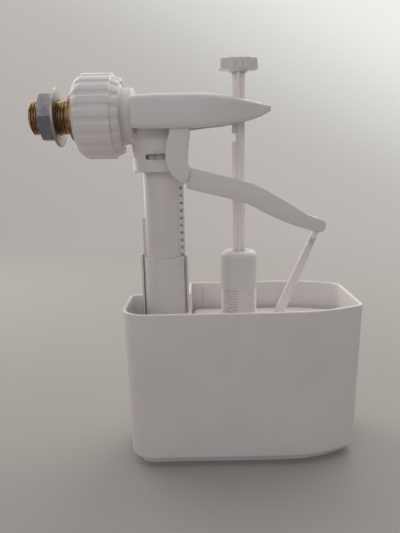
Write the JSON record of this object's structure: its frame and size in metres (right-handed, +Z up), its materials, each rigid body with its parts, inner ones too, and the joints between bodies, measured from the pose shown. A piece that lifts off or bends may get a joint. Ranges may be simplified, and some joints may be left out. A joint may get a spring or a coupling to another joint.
{
  "type": "toilet fill valve",
  "caption": "Side-inlet toilet cistern fill valve with a servo head, bell-crank lever, telescopic riser, height-adjusting spindle and float in an open-top chamber.",
  "frame": {"origin": "middle of the whole object's bounding box in plan, at the level the chamber's foot stands on", "axes": "+Z up along the riser, +X from the inlet thread towards the swept end of the chamber, -Y the side the lever is on (the picture's front)"},
  "size_m": [0.165, 0.064, 0.2026],
  "materials": {
    "white_plastic": "satin white moulding",
    "natural_plastic": "satin, slightly translucent",
    "brass": "turned",
    "zinc_steel": "zinc plated",
    "washer_steel": "plated",
    "rubber": "matte black"
  },
  "bodies": {
    "valve_head": {"inlet_shank": "brass", "union_nut": "white_plastic", "tail_ring": "brass", "tail_gasket": "rubber", "inlet_strainer": "white_plastic", "flow_restrictor": "white_plastic", "valve_body": "white_plastic", "diaphragm": "rubber", "pilot_jet": "white_plastic", "head_guard": "white_plastic", "lever_pin": "zinc_steel", "riser_tube": "white_plastic"},
    "washer": {"clamp_washer": "washer_steel"},
    "nut": {"backnut": "zinc_steel"},
    "bell_crank": {"lever": "white_plastic", "pilot_pad": "rubber"},
    "link_strip": {"link": "natural_plastic"},
    "swivel": {"swivel_block": "white_plastic"},
    "spindle": {"spindle_rod": "natural_plastic", "spindle_knob": "white_plastic", "guide_cylinder": "white_plastic", "swivel_clip": "white_plastic"},
    "float_unit": {"float": "natural_plastic", "level_collar": "white_plastic"},
    "chamber": {"float_chamber": "white_plastic", "flap_pin": "white_plastic"},
    "latch": {"height_latch": "white_plastic"},
    "flap": {"drain_flap": "rubber"}
  },
  "joints": [
    {"name": "washer_slide", "type": "slide", "parent": "valve_head", "child": "washer", "axis": [1, 0, 0], "range_m": [0, 0.0045]},
    {"name": "backnut_turn", "type": "hinge", "parent": "washer", "child": "nut", "pos_m": [-0.0736, 0.003, 0.1773], "axis": [1, 0, 0], "range_deg": [0, 1216]},
    {"name": "lever_swing", "type": "hinge", "parent": "valve_head", "child": "bell_crank", "pos_m": [-0.0145, 0.003, 0.1727], "axis": [0, -1, 0], "range_deg": [0, 7.5]},
    {"name": "link_swing", "type": "hinge", "parent": "bell_crank", "child": "link_strip", "pos_m": [0.0604, -0.0119, 0.122], "axis": [0, -1, 0], "range_deg": [-11.3, 0]},
    {"name": "spindle_rise", "type": "slide", "parent": "valve_head", "child": "swivel", "axis": [0, 0, 1], "range_m": [0, 0.013]},
    {"name": "spindle_turn", "type": "hinge", "parent": "swivel", "child": "spindle", "pos_m": [0.0212, -0.004, 0.0288], "axis": [0, 0, 1], "range_deg": [0, 90]},
    {"name": "float_level", "type": "slide", "parent": "swivel", "child": "float_unit", "axis": [0, 0, 1], "range_m": [-0.002, 0.014]},
    {"name": "chamber_height", "type": "slide", "parent": "valve_head", "child": "chamber", "axis": [0, 0, 1], "range_m": [-0.016, 0.008]},
    {"name": "latch_flex", "type": "hinge", "parent": "chamber", "child": "latch", "pos_m": [-0.0056, -0.0012, 0.0748], "axis": [0, 1, 0], "range_deg": [0, 2.5], "stiffness_Nm_per_rad": 0.02},
    {"name": "drain_flap_swing", "type": "hinge", "parent": "chamber", "child": "flap", "pos_m": [-0.0078, 0.02, 0.021], "axis": [0, 1, 0], "range_deg": [0, 30]}
  ],
  "couplings": [
    {"joint": "backnut_turn", "follows": "washer_slide", "rad_per_m": 4699.5},
    {"joint": "link_swing", "follows": "lever_swing", "ratio": -1.497},
    {"joint": "spindle_rise", "follows": "lever_swing", "m_per_rad": 0.09898}
  ]
}
